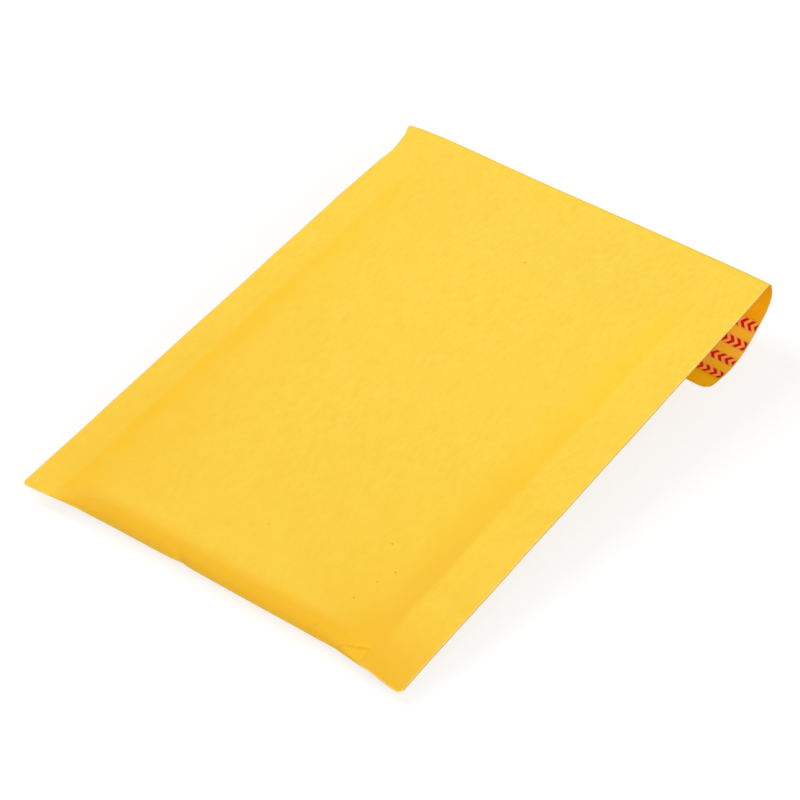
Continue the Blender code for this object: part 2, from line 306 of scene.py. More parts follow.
@dataclass(frozen=True)
class PouchForm:
    """Shape of the padded pouch: the sizes of its solid, and finer forms on top of them."""

    width: float = 0.1300
    body_length: float = 0.1946
    paper: float = 0.0003
    left_seal: float = 0.0090
    right_seal: float = 0.0138
    left_corner: float = 0.0012
    right_corner: float = 0.0016
    pad_thickness: float = 0.0090
    mouth_setback: float = 0.0020
    mouth_drop: float = 0.0030
    fade_length: float = 0.0420
    fold_radius: float = 0.0062
    fold_recess: float = 0.0030
    fold_softness: float = 0.0015
    fold_stations: Values = (
        -0.0650, -0.0628, -0.0566, -0.0525, -0.0467, -0.0416, -0.0365, -0.0318,
        -0.0212, -0.0140, -0.0110, -0.0080, -0.0007, 0.0150, 0.0300, 0.0410,
        0.0454, 0.0505, 0.0535, 0.0558, 0.0586, 0.0610, 0.0625, 0.0650,
    )
    fold_insets: Values = (
        0.0, 0.0, 0.00050, 0.00125, 0.00203, 0.00229, 0.00258, 0.00260,
        0.00272, 0.00285, 0.00340, 0.00290, 0.00285, 0.00278, 0.00280, 0.00257,
        0.00183, 0.00122, 0.00120, 0.00092, 0.00050, 0.00022, 0.00010, 0.00010,
    )
    crown_width: float = 0.032
    left_softness: float = 0.0010
    right_softness: float = 0.0003
    slope_reach: float = 0.006
    slope_stations: Values = (0.0, 0.009, 0.018, 0.036, 0.057, 0.080, 0.111, 0.144, 0.195)
    left_slopes: Values = (
        0.026, 0.018, 0.0135, 0.0115, 0.0115, 0.0115, 0.0115, 0.011, 0.010,
    )
    right_slopes: Values = (
        0.016, 0.0105, 0.0080, 0.0085, 0.0120, 0.0140, 0.0100, 0.0085, 0.0080,
    )
    back_slopes: Values = (
        0.024, 0.017, 0.0130, 0.0120, 0.0120, 0.0120, 0.0120, 0.0120, 0.0120,
    )
    left_drops: Values = (0.9, 0.75, 0.60, 0.55, 0.60, 0.65, 0.65, 0.60, 0.50)
    right_drops: Values = (0.9, 0.65, 0.45, 0.50, 0.75, 0.85, 0.75, 0.60, 0.50)
    crease_limit: float = 0.6
    creases: tuple[Crease, ...] = (
        Crease((0.0424, 0.0024), (0.0469, 0.0045), 0.00034),
        Crease((0.0469, 0.0045), (0.0500, 0.0071), 0.00036),
        Crease((0.0502, 0.0069), (0.0503, 0.0026), 0.00022),
        Crease((0.0320, 0.0031), (0.0344, 0.0040), 0.00026),
        Crease((-0.0125, 0.0041), (-0.0102, 0.0030), 0.00022),
    )
    borders: Borders = Borders()
    sway: Sway = Sway()
    corner_steps: int = 7
    first_run: float = 0.012
    column_stops: Values = (-0.014, -0.008, 0.030)
    column_steps: tuple[int, ...] = (7, 14, 20, 12, 28, 56, 10)
    thin_steps: int = 3
    fold_steps: int = 27

    @property
    def half_width(self) -> float:
        """Half of the sheet's width."""
        return self.width / 2

    @property
    def half_pad(self) -> float:
        """Half of the padding's thickness."""
        return self.pad_thickness / 2

    @property
    def pocket_half(self) -> float:
        """Half of the width between the two side seals."""
        return (self.width - self.left_seal - self.right_seal) / 2

    @property
    def pocket_centre(self) -> float:
        """Middle of the pocket, which is off the sheet's because the seals differ."""
        return (self.left_seal - self.right_seal) / 2

    @property
    def mouth_line(self) -> float:
        """Length at which the pouch opens."""
        return self.body_length - self.mouth_setback

    def corner_inset(self, x: Grid, left: float, right: float) -> Grid:
        """Inset of an end line at its rounded corners.

        With c the share of the corner's radius r past its start, the inset is r times 1 less
        the root of 1 less c squared.

        Args:
            x: places across.
            left: radius of the left corner.
            right: radius of the right corner.

        Returns:
            How far the end line is drawn in at each place.
        """
        radius = np.where(x < 0.0, left, right)
        into = np.clip((np.abs(x) - (self.half_width - radius)) / radius, 0.0, 1.0)
        return radius * (1.0 - np.sqrt(1.0 - into**2))

    def off_seal(self, x: Grid) -> Grid:
        """Way from the nearer side seal towards the middle, negative on the seals."""
        return self.pocket_half - np.abs(x - self.pocket_centre)

    def rounded(self, off: Grid, width: Grid) -> Grid:
        """Share of a slope: 1 less the squared way left to its top."""
        return 1.0 - (1.0 - np.clip(off / width, 0.0, 1.0)) ** 2

    def along(self, l: Grid, values: Values) -> Grid:
        """Soft line along the length through the values at the slopes' stations."""
        return flowing(l, self.slope_stations, values, self.slope_reach)

    def front_share(self, x: Grid, l: Grid) -> Grid:
        """Share of the padding's height that the front panel reaches.

        Each slope starts in a crease at its seal, softened as the root of the squared way and
        the squared softness less the softness. It rounds off over a width, and by a drop, that
        both vary along its side. A broad crown takes the rest of the height.

        Args:
            x: places across.
            l: places along.

        Returns:
            Share from 0 on the seals to 1 in the middle.
        """
        right = x > self.pocket_centre
        soft = np.where(right, self.right_softness, self.left_softness)
        off = np.hypot(np.maximum(self.off_seal(x), 0.0), soft) - soft
        width = np.where(right, self.along(l, self.right_slopes), self.along(l, self.left_slopes))
        drop = np.where(right, self.along(l, self.right_drops), self.along(l, self.left_drops))
        near = self.rounded(off, width)
        return drop * near + (1.0 - drop) * self.rounded(off, self.crown_width)

    def back_share(self, x: Grid, l: Grid) -> Grid:
        """Share of the padding's depth that the back panel reaches."""
        return self.rounded(self.off_seal(x), self.along(l, self.back_slopes))

    def fold_line(self, x: Grid) -> Grid:
        """Length at which the bottom fold lies: corners and padding draw it in."""
        drawn = flowing(x, self.fold_stations, self.fold_insets, self.fold_softness)
        return np.maximum(self.corner_inset(x, self.left_corner, self.right_corner), drawn)

    def fold_round(self, past: Grid, radius: float) -> Grid:
        """Quarter ellipse of the fold: the root of 1 less the squared way left."""
        return np.sqrt(1.0 - (1.0 - np.clip(past / radius, 0.0, 1.0)) ** 2)

    def mid_drop(self, l: Grid) -> Grid:
        """Depth of the padding's middle below the seals, which grows evenly with the length."""
        return self.mouth_drop * l / self.body_length

    def front_height(self, x: Grid, l: Grid, inside: bool = False) -> Grid:
        """Height of the front panel's outer or inner face.

        The height is the room over the padding's middle times the front share, the fold's
        rounding and a fade to nothing before the mouth, less the small creases.

        Args:
            x: places across.
            l: places along.
            inside: True for the inner face, one paper thickness lower.

        Returns:
            Height above the plane of the seals.
        """
        skip = self.paper if inside else 0.0
        past = l - self.fold_line(x) - skip
        fade = 1.0 - smooth((l - (self.mouth_line - self.fade_length)) / self.fade_length)
        depth = (self.half_pad - self.mid_drop(l) - self.paper) * fade
        swell = depth * self.front_share(x, l) * self.fold_round(past, self.fold_radius - skip)
        swell = swell - np.minimum(self.pressed(x, l), self.crease_limit * swell)
        return swell if inside else swell + self.paper * self.fold_round(past, self.paper)

    def pressed(self, x: Grid, l: Grid, share: float = 1.0) -> Grid:
        """Depth of the deepest crease at each place, its reach taken times a share."""
        return np.maximum.reduce([crease.sink(x, l, share) for crease in self.creases])

    def back_height(self, x: Grid, l: Grid, inside: bool = False) -> Grid:
        """Height of the back panel's outer or inner face, below the plane of the seals.

        The panel falls by the room under the padding's middle times the padding's share and
        the fold's rounding, and goes on at full depth to the mouth.

        Args:
            x: places across.
            l: places along.
            inside: True for the inner face, one paper thickness higher.

        Returns:
            Height, which is 0 or negative.
        """
        skip = self.paper if inside else 0.0
        past = l - self.fold_line(x) - skip
        depth = self.half_pad + self.mid_drop(l) - self.paper
        fall = depth * self.back_share(x, l) * self.fold_round(past, self.fold_radius - skip)
        return -fall if inside else -fall - self.paper * self.fold_round(past, self.paper)

    def settle(self, x: Grid, s: Grid, l: Grid, m: Grid) -> Grid:
        """Join x, l and m into points, with the wander of the borders and the sway added.

        Args:
            x: places across.
            s: distances along the sheet, body and flap together.
            l: places along.
            m: heights.

        Returns:
            Points, with x, l and m in the last axis.
        """
        across = x + self.borders.flare(x, s, self.half_width)
        along = l + self.borders.skew(x, s, self.body_length)
        return np.stack([across, along, m + self.sway.lift(x, s, self.pocket_centre)], -1)

    def columns(self) -> Grid:
        """Stations across the whole sheet, closer at its edges, creases and slopes.

        Returns:
            Places from the left edge to the right one.
        """
        turn = np.radians(between(0.0, 90.0, self.corner_steps))
        left = -self.half_width + self.left_corner * (1.0 - np.sin(turn[::-1]))
        right = self.half_width - self.right_corner * (1.0 - np.sin(turn))
        first = self.pocket_centre - self.pocket_half
        last = self.pocket_centre + self.pocket_half
        stops = (left[-1], first, first + self.first_run, *self.column_stops, last, right[0])
        runs = zip(stops, stops[1:], self.column_steps)
        return np.concatenate([left, *(between(*run)[1:] for run in runs), right[1:]])

    def pocket_columns(self) -> Grid:
        """Those of the sheet's stations that lie over the pocket, seal to seal."""
        x = self.columns()
        return x[np.abs(x - self.pocket_centre) <= self.pocket_half + WELD_DISTANCE]

    def rows(self, steps: int, fine_fold: bool) -> Grid:
        """Shares of the way from the bottom fold to the mouth.

        Args:
            steps: number of even steps past the fold's rounding.
            fine_fold: True for an outer face, whose sealed edge is rounded too.

        Returns:
            Shares from 0 to 1, close together round the fold.
        """
        thin = self.paper * (1.0 - np.cos(np.radians(between(0.0, 90.0, self.thin_steps))))
        turn = np.radians(between(0.0, 90.0, self.fold_steps)[self.thin_steps:])
        fold = self.fold_radius * (1.0 - np.cos(turn))
        reach = self.mouth_line - self.fold_recess
        start = thin if fine_fold else thin[:1]
        return np.concatenate([start, fold, between(fold[-1], reach, steps)[1:]]) / reach

    def panel(self, x: Grid, shares: Grid, skip: float) -> tuple[Grid, Grid]:
        """Grid of x and l: every column runs from its own place on the fold to the mouth.

        Args:
            x: places of the columns.
            shares: shares of the way from the fold to the mouth.
            skip: way past the fold at which the columns start.

        Returns:
            Places across and along, both rows by columns.
        """
        begin = (self.fold_line(x) + skip)[None, :]
        l = begin + (self.mouth_line - begin) * shares[:, None]
        return np.broadcast_to(x, l.shape), l


@dataclass(frozen=True)
class FlapCurl:
    """Curl of the flap: arcs that follow on one another, then a straight tail."""

    length: float = 0.0497
    arcs: Values = (0.0024, 0.0054, 0.0102, 0.0220)
    turns: Values = (66.0, 21.0, 66.0, 33.0)
    steps: tuple[int, ...] = (10, 7, 14, 16, 7)
    corner: float = 0.0033
    samples: int = 4000

    @property
    def knots(self) -> Grid:
        """Distances at which each arc, and then the tail, starts and ends."""
        return np.concatenate([[0.0], np.cumsum(self.arcs), [self.length]])

    def path(self, along: Grid, start: float) -> tuple[Grid, Grid]:
        """Inside face of the flap and its outward direction.

        The heading grows evenly along each arc and stays on the tail. The place is the sum
        of small steps, each the cosine and the sine of the heading there.

        Args:
            along: distances from the panel's end.
            start: length at which the flap starts.

        Returns:
            Places and outward directions, each as l and m.
        """
        headings = np.radians(np.concatenate([[0.0], np.cumsum(self.turns), [sum(self.turns)]]))
        fine = np.linspace(0.0, self.length, self.samples)
        heading = np.interp(fine, self.knots, headings)
        middle = (heading[1:] + heading[:-1]) / 2
        path_l = np.concatenate([[0.0], np.cumsum(np.cos(middle)) * fine[1]]) + start
        path_m = -np.concatenate([[0.0], np.cumsum(np.sin(middle)) * fine[1]])
        turn = np.interp(along, self.knots, headings)
        place = np.stack([np.interp(along, fine, path_l), np.interp(along, fine, path_m)], -1)
        return place, np.stack([np.sin(turn), np.cos(turn)], -1)

    def stations(self) -> Grid:
        """Shares of the flap's length, closer together where it bends most."""
        runs = zip(self.knots, self.knots[1:], self.steps)
        return np.concatenate([[0.0], *(between(*run)[1:] for run in runs)]) / self.length


@dataclass(frozen=True)
class Pose:
    """Turn and lift that carry the envelope's own directions into the frame."""

    tilt: float
    shift_y: float
    shift_z: float

    @classmethod
    def from_record(cls, record: dict, form: PouchForm) -> "Pose":
        """Work the pose out from the record's place on the front panel.

        Args:
            record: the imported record.
            form: shape of the pouch.

        Returns:
            The pose, in radians and metres.
        """
        mount = next(m for m in record["mounts"] if m["name"] == "label_face")
        axis, place, l = mount["axis"], mount["pos_m"], MOUNT_LENGTH
        tilt = math.atan2(-axis[1], axis[2]) + math.atan(form.mouth_drop / form.body_length)
        m = form.half_pad - float(form.mid_drop(l))
        y = place[1] - l * math.cos(tilt) + m * math.sin(tilt)
        return cls(tilt, y, place[2] - l * math.sin(tilt) - m * math.cos(tilt))

    def place(self, points: Grid) -> Grid:
        """Turn points about the width by the tilt, then lift them.

        Args:
            points: x, l and m in the last axis.

        Returns:
            The points in the frame, as x, y and z.
        """
        x, l, m = np.moveaxis(np.asarray(points), -1, 0)
        y = self.shift_y + l * math.cos(self.tilt) - m * math.sin(self.tilt)
        z = self.shift_z + l * math.sin(self.tilt) + m * math.cos(self.tilt)
        return np.stack([x, y, z], -1)


@dataclass
class ShellMesh:
    """Grids of points that are welded into one closed mesh."""

    name: str
    attributes: tuple[str, ...] = ()
    points: list[Grid] = field(default_factory=list)
    faces: list[Grid] = field(default_factory=list)
    sides: list[Grid] = field(default_factory=list)
    tones: dict[str, list[Grid]] = field(default_factory=dict)
    count: int = 0

    def add(self, points: Grid, side: int = 0, tones: dict[str, Grid] | None = None) -> None:
        """Add one grid of points, or a stack of them, as patches of four-sided faces.

        Args:
            points: rows by columns by 3, with any number of leading axes.
            side: number of the material that the patch wears.
            tones: values of the mesh's attributes at the points, 0 where not given.
        """
        rows, columns = points.shape[-3:-1]
        flat = points.reshape(-1, 3)
        index = np.arange(self.count, self.count + len(flat)).reshape(-1, rows, columns)
        corners = (index[:, :-1, :-1], index[:, :-1, 1:], index[:, 1:, 1:], index[:, 1:, :-1])
        quads = np.stack(corners, -1).reshape(-1, 4)
        self.points.append(flat)
        self.faces.append(quads)
        self.sides.append(np.full(len(quads), side))
        for name in self.attributes:
            given = np.broadcast_to((tones or {}).get(name, 0.0), points.shape[:-1])
            self.tones.setdefault(name, []).append(given.reshape(-1))
        self.count += len(flat)

    def build(
        self, materials: list[Material], pose: Pose, sharp: float = 50.0
    ) -> bpy.types.Object:
        """Weld the patches, point the faces outwards and make the object.

        Args:
            materials: materials in the order of the patches' numbers.
            pose: turn and lift that carry the points into the frame.
            sharp: angle from which an edge stays sharp.

        Returns:
            The object, at the origin, with its place in its mesh.
        """
        data = bpy.data.meshes.new(self.name)
        points = pose.place(np.concatenate(self.points))
        data.from_pydata(points.tolist(), [], np.concatenate(self.faces).tolist())
        sides = np.concatenate(self.sides).astype(np.int32)
        data.polygons.foreach_set("material_index", sides)
        for name, values in self.tones.items():
            layer = data.attributes.new(name, "FLOAT", "POINT")
            layer.data.foreach_set("value", np.concatenate(values).astype(np.float32))
        mesh = bmesh.new()
        mesh.from_mesh(data)
        bmesh.ops.remove_doubles(mesh, verts=mesh.verts, dist=WELD_DISTANCE)
        bmesh.ops.recalc_face_normals(mesh, faces=mesh.faces)
        mesh.to_mesh(data)
        mesh.free()
        data.shade_smooth()
        data.set_sharp_from_angle(angle=math.radians(sharp))
        for material in materials:
            data.materials.append(material)
        return placed(self.name, data)


@dataclass(frozen=True)
class Grain:
    """Size and roughness of one cloudy noise, and how it is stretched."""

    scale: float
    detail: float = 3.0
    rough: float = 0.5
    stretch: Point = (1.0, 1.0, 1.0)

    def sockets(self) -> dict[str, float]:
        """Values of the noise node's own sockets."""
        return {"Scale": self.scale, "Detail": self.detail, "Roughness": self.rough}


@dataclass(frozen=True)
class Dots:
    """Small spots strewn over the cells of a lattice.

    The scale counts cells per metre. The size is a spot's radius as a share of a cell, and
    the core the fully painted share of that radius. Bare is the share of cells without a spot.
    """

    scale: float
    size: float
    bare: float
    strength: float
    core: float = 0.4
    choice: float = 0.05


class NodeGraph:
    """Adds shader nodes to one new material and joins them, socket by socket."""

    def __init__(self, name: str) -> None:
        """Start a material that holds one Principled shader and its output.

        Args:
            name: the material's name.
        """
        self.material = bpy.data.materials.new(name)
        self.material.use_nodes = True
        self.tree = self.material.node_tree
        self.shader = self.tree.nodes["Principled BSDF"]

    def node(self, kind: str, inputs: dict | None = None, **settings: object) -> bpy.types.Node:
        """Add a node.

        Args:
            kind: the node's type.
            inputs: sockets by name or number, each with a value or another node's socket.
            settings: the node's own options.

        Returns:
            The new node.
        """
        made = self.tree.nodes.new(kind)
        for name, value in settings.items():
            setattr(made, name, value)
        for name, value in (inputs or {}).items():
            self.feed(made.inputs[name], value)
        return made

    def feed(self, socket: Socket, value: object) -> None:
        """Link a socket to another one, or set its value.

        Args:
            socket: the socket that takes the value.
            value: a constant or another node's socket.
        """
        if isinstance(value, bpy.types.NodeSocket):
            self.tree.links.new(value, socket)
        else:
            socket.default_value = value

    def set(self, name: str, value: object) -> None:
        """Feed one of the shader's own sockets."""
        self.feed(self.shader.inputs[name], value)

    def position(self, stretch: Point = (1.0, 1.0, 1.0)) -> Socket:
        """Object coordinates, stretched along each direction."""
        inputs = {"Vector": self.node("ShaderNodeTexCoord").outputs["Object"], "Scale": stretch}
        return self.node("ShaderNodeMapping", inputs).outputs["Vector"]

    def attribute(self, name: str) -> Socket:
        """Value of one of the mesh's own attributes."""
        return self.node("ShaderNodeAttribute", attribute_name=name).outputs["Fac"]

    def noise(self, grain: Grain) -> Socket:
        """Cloudy noise around one half."""
        inputs = {"Vector": self.position(grain.stretch), **grain.sockets()}
        return self.node("ShaderNodeTexNoise", inputs).outputs["Fac"]

    def vector(self, operation: str, *values: Socket | Point) -> Socket:
        """Length, distance or the like of one or two vectors."""
        made = self.node("ShaderNodeVectorMath", dict(enumerate(values)), operation=operation)
        return made.outputs["Value"]

    def math(self, operation: str, *values: Socket | float) -> Socket:
        """Arithmetic on one to three values."""
        inputs = dict(enumerate(values))
        return self.node("ShaderNodeMath", inputs, operation=operation).outputs[0]

    def ramp(self, value: Socket, low: float, high: float, *ends: float) -> Socket:
        """Eased step of a value, from low to high.

        Args:
            value: what the step follows.
            low: value at the step's start.
            high: value at its end, which may be the lower of the two.
            ends: results at the start and at the end, or nothing for 0 and 1.

        Returns:
            The eased value.
        """
        floor, top = ends or (0.0, 1.0)
        inputs = {"Value": value, "From Min": low, "From Max": high}
        inputs.update({"To Min": floor, "To Max": top})
        made = self.node("ShaderNodeMapRange", inputs, interpolation_type="SMOOTHSTEP")
        return made.outputs["Result"]

    def mix(self, share: Socket, first: Socket | Colour, second: Socket | Colour) -> Socket:
        """Colour between two colours.

        Args:
            share: share of the second colour.
            first: a socket or a colour as seen.
            second: a socket or a colour as seen.

        Returns:
            The mixed colour.
        """
        first, second = (linear(c) if isinstance(c, tuple) else c for c in (first, second))
        inputs = {0: share, 6: first, 7: second}
        return self.node("ShaderNodeMix", inputs, data_type="RGBA").outputs[2]

    def paint(self, colour: Socket, name: str, tone: Colour) -> Socket:
        """Colour with a tone laid over it by one of the mesh's own attributes."""
        return self.mix(self.attribute(name), colour, tone)

    def dotted(self, colour: Socket, dots: Dots, tone: Colour) -> Socket:
        """Colour with a tone painted on small scattered spots.

        Args:
            colour: colour beside the spots.
            dots: size, number and strength of the spots.
            tone: colour of the spots.

        Returns:
            The dotted colour.
        """
        inputs = {"Vector": self.position(), "Scale": dots.scale}
        cells = self.node("ShaderNodeTexVoronoi", inputs).outputs
        chosen = self.ramp(cells["Color"], dots.bare, dots.bare + dots.choice)
        spot = self.ramp(cells["Distance"], dots.size, dots.core * dots.size)
        share = self.math("MULTIPLY", self.math("MULTIPLY", spot, chosen), dots.strength)
        return self.mix(share, colour, tone)

    def bump(self, height: Socket, distance: float, strength: float) -> None:
        """Relief on the shader's normal."""
        inputs = {"Height": height, "Distance": distance, "Strength": strength}
        self.set("Normal", self.node("ShaderNodeBump", inputs).outputs["Normal"])


@dataclass(frozen=True)
class KraftFinish:
    """Smooth golden kraft paper with faint clouds, fibres and a few specks, with painted shade
    and painted bounce light in its colour.
    """

    light: Colour = (255, 217, 76)
    shade: Colour = (250, 208, 64)
    # painted shade and painted shadow: the next three colours stand in for shade in the fold,
    # creases and on the slopes
    deep: Colour = (241, 184, 38)
    warm: Colour = (255, 203, 24)
    dusk: Colour = (234, 188, 64)
    rim: Colour = (254, 226, 150)
    speck: Colour = (176, 126, 42)
    fleck: Colour = (255, 226, 110)
    # inner face: a deeper orange that is painted bounce light, painted brighter at the flap's
    # tail
    inside_light: Colour = (250, 181, 2)
    inside_shade: Colour = (245, 173, 1)
    inside_rim: Colour = (240, 200, 120)
    inside_tail_painted_light: Colour = (255, 195, 1)
    edge: Colour = (212, 168, 76)
    # dark seam between the layers, also used for the painted shadow along the creases and the
    # foot of the seals
    seam: Colour = (150, 108, 48)
    clouds: Grain = Grain(150.0, 5.0, 0.6)
    fibres: Grain = Grain(800.0, 4.0, 0.65, (1.0, 0.35, 1.0))
    cloud_share: float = 0.5
    flecks: Dots = Dots(260.0, 0.10, 0.70, 0.5)
    specks: Dots = Dots(70.0, 0.022, 0.62, 0.55)
    spot_reach: float = 0.00040
    spot_core: float = 0.00010
    spot_strength: float = 0.70
    fray: Grain = Grain(1400.0, 2.0)
    fray_strength: float = 0.35
    gloss: Grain = Grain(160.0, 4.0)
    gloss_ends: Pair = (0.66, 0.80)
    specular: float = 0.22
    tooth: Grain = Grain(2600.0, 3.0, 0.6, (1.0, 0.45, 1.0))
    cockle: Grain = Grain(210.0)
    cockle_share: float = 3.0
    relief: Pair = (0.00002, 0.8)

    def skin(self, graph: NodeGraph, light: Colour, shade: Colour) -> Socket:
        """Colour of the plain paper: two tones mixed by clouds and by long fibres.

        Args:
            graph: the material's nodes.
            light: the paler tone.
            shade: the darker tone.

        Returns:
            The mixed colour.
        """
        clouds = graph.ramp(graph.noise(self.clouds), *NOISE_WIDE)
        fibres = graph.ramp(graph.noise(self.fibres), *NOISE_WIDE)
        tone = graph.math("MULTIPLY_ADD", clouds, self.cloud_share, fibres)
        return graph.mix(graph.math("DIVIDE", tone, 1.0 + self.cloud_share), light, shade)

    def outside(self, spots: Grid) -> Material:
        """Outer face, deeper with painted shade in the fold, creases and slopes, and paler along
        its edges.

        Args:
            spots: places of the single specks, in the frame.

        Returns:
            The material.
        """
        graph = NodeGraph("kraft_outside")
        colour = self.skin(graph, self.light, self.shade)
        colour = graph.dotted(colour, self.flecks, self.fleck)
        # painted shade: saturated on the slopes, darker on the right slope, deeper in the fold,
        # creases and towards the bottom, left and lower right
        for name, tone in (("warm", self.warm), ("dusk", self.dusk), ("deep", self.deep)):
            colour = graph.paint(colour, name, tone)
        colour = graph.dotted(colour, self.specks, self.speck)
        for spot in spots.tolist():
            away = graph.vector("DISTANCE", graph.position(), tuple(spot))
            near = graph.ramp(away, self.spot_reach, self.spot_core, 0.0, self.spot_strength)
            colour = graph.mix(near, colour, self.speck)
        colour = graph.paint(colour, "rim", self.rim)
        # dark seams, and painted shadow along the creases and the foot of the seals
        return self.paper(graph, graph.paint(colour, "seam", self.seam))

    def inside(self) -> Material:
        """Inner face, painted a deeper orange that stands in for light coming back from paper to
        paper.

        Returns:
            The material.
        """
        graph = NodeGraph("kraft_inside")
        colour = self.skin(graph, self.inside_light, self.inside_shade)
        # painted light: the tail of the flap's inside is painted brighter
        colour = graph.paint(colour, "deep", self.inside_tail_painted_light)
        return self.paper(graph, graph.paint(colour, "rim", self.inside_rim))

    def cut_edge(self) -> Material:
        """Cut edge of the sheet: pale fibres, with a dark line between two sealed layers.

        Returns:
            The material.
        """
        graph = NodeGraph("kraft_cut_edge")
        fray = graph.ramp(graph.noise(self.fray), *NOISE_WIDE, 0.0, self.fray_strength)
        colour = graph.mix(fray, self.edge, self.seam)
        return self.paper(graph, graph.paint(colour, "seam", self.seam))

    def paper(self, graph: NodeGraph, colour: Socket) -> Material:
        """Give the shader the paper's colour, its matt gloss and its fine tooth.

        Args:
            graph: the material's nodes.
            colour: the paper's colour.

        Returns:
            The material.
        """
        graph.set("Base Color", colour)
        graph.set("Specular IOR Level", self.specular)
        gloss = graph.ramp(graph.noise(self.gloss), *NOISE_WIDE, *self.gloss_ends)
        graph.set("Roughness", gloss)
        tooth, cockle = graph.noise(self.tooth), graph.noise(self.cockle)
        height = graph.math("MULTIPLY_ADD", cockle, self.cockle_share, tooth)
        graph.bump(height, *self.relief)
        return graph.material


@dataclass(frozen=True)
class FilmFinish:
    """Clear milky polyethylene bubble film."""

    colour: Colour = (236, 240, 242)
    haze: Colour = (214, 224, 230)
    clouds: Grain = Grain(260.0, 4.0)
    dents: Grain = Grain(700.0, 2.0)
    gloss: Pair = (0.12, 0.24)
    transmission: float = 0.45
    ior: float = 1.3
    relief: Pair = (0.00004, 0.5)

    def build(self) -> Material:
        """Make the material: a thin clear body with a cloudy haze and soft gloss.

        Returns:
            The material.
        """
        graph = NodeGraph("bubble_film")
        cloud = graph.ramp(graph.noise(self.clouds), *NOISE_NARROW)
        graph.set("Base Color", graph.mix(cloud, self.colour, self.haze))
        graph.set("Roughness", graph.ramp(cloud, 0.0, 1.0, *self.gloss))
        graph.set("Transmission Weight", self.transmission)
        graph.set("IOR", self.ior)
        graph.bump(graph.noise(self.dents), *self.relief)
        return graph.material


@dataclass(frozen=True)
class AdhesiveFinish:
    """Tacky cream hot-melt adhesive, laid on in fine combed lines."""

    colour: Colour = (240, 226, 184)
    thin: Colour = (236, 204, 132)
    combing: Grain = Grain(1100.0, 3.0, 0.5, (0.08, 1.0, 1.0))
    gloss: Pair = (0.28, 0.45)
    relief: Pair = (0.00006, 0.6)

    def build(self) -> Material:
        """Make the material: combed lines across, glossy and slightly lumpy.

        Returns:
            The material.
        """
        graph = NodeGraph("adhesive")
        lines = graph.noise(self.combing)
        share = graph.ramp(lines, *NOISE_NARROW)
        graph.set("Base Color", graph.mix(share, self.colour, self.thin))
        graph.set("Roughness", graph.ramp(lines, *NOISE_WIDE, *self.gloss))
        graph.bump(lines, *self.relief)
        return graph.material


@dataclass(frozen=True)
class LinerFinish:
    """Thin orange release film with rows of red peel marks.

    Each row holds even arrow heads, each of two slanted strokes that meet in a point, and
    every other row points the other way. A paler halo runs round each stroke.
    """

    film: Colour = (255, 197, 32)
    haze: Colour = (255, 200, 60)
    halo: Colour = (255, 148, 96)
    ink: Colour = (206, 6, 4)
    row_pitch: float = 0.00745
    row_start: float = -0.0018
    row_shift: float = 0.0009
    half_height: float = 0.00170
    mark_pitch: float = 0.0024
    mark_start: float = 0.27
    stroke: float = 0.00056
    slant: float = 0.70
    halo_reach: float = 0.00070
    halo_core: float = 0.0001
    ink_blur: float = 0.00008
    clouds: Grain = Grain(140.0, 4.0)
    dents: Grain = Grain(420.0, 3.0, 0.5, (0.4, 1.0, 1.0))
    gloss: Pair = (0.30, 0.40)
    specular: float = 0.35
    relief: Pair = (0.00004, 0.5)

    def outline(self, graph: NodeGraph) -> Socket:
        """Distance outside the strokes of the marks, on the strip's own UV map in metres.

        With h the height over the middle of a row, the marks lie evenly along the row,
        shifted by the slant times h, one way in every other row and the other way between.

        Args:
            graph: the material's nodes.

        Returns:
            The distance, negative on a stroke.
        """
        calc = graph.math
        place = graph.node("ShaderNodeUVMap", uv_map="strip").outputs["UV"]
        split = graph.node("ShaderNodeSeparateXYZ", {"Vector": place}).outputs
        row = calc("DIVIDE", calc("SUBTRACT", split["Y"], self.row_start), self.row_pitch)
        odd = calc("MODULO", calc("FLOOR", row), 2.0)
        turn = calc("SUBTRACT", calc("MULTIPLY", odd, 2.0), 1.0)
        height = calc("MULTIPLY", calc("SUBTRACT", calc("FRACT", row), 0.5), self.row_pitch)
        rise = calc("ABSOLUTE", height)
        lean = calc("MULTIPLY", calc("MULTIPLY", rise, self.slant), turn)
        lean = calc("ADD", lean, calc("MULTIPLY", turn, self.row_shift))
        shifted = calc("ADD", calc("ADD", split["X"], lean), self.mark_start)
        cell = calc("PINGPONG", shifted, self.mark_pitch / 2)
        beyond = calc("SUBTRACT", rise, self.half_height)
        return calc("MAXIMUM", calc("SUBTRACT", cell, self.stroke), beyond)

    def build(self) -> Material:
        """Make the material: a cloudy film, the halo, and the ink of the marks.

        Returns:
            The material.
        """
        graph = NodeGraph("release_liner")
        away = self.outline(graph)
        cloud = graph.ramp(graph.noise(self.clouds), *NOISE_NARROW)
        colour = graph.mix(cloud, self.film, self.haze)
        halo = graph.ramp(away, self.halo_reach, self.halo_core)
        colour = graph.mix(halo, colour, self.halo)
        colour = graph.mix(graph.ramp(away, self.ink_blur, -self.ink_blur), colour, self.ink)
        graph.set("Base Color", colour)
        graph.set("Roughness", graph.ramp(cloud, 0.0, 1.0, *self.gloss))
        graph.set("Specular IOR Level", self.specular)
        graph.bump(graph.noise(self.dents), *self.relief)
        return graph.material


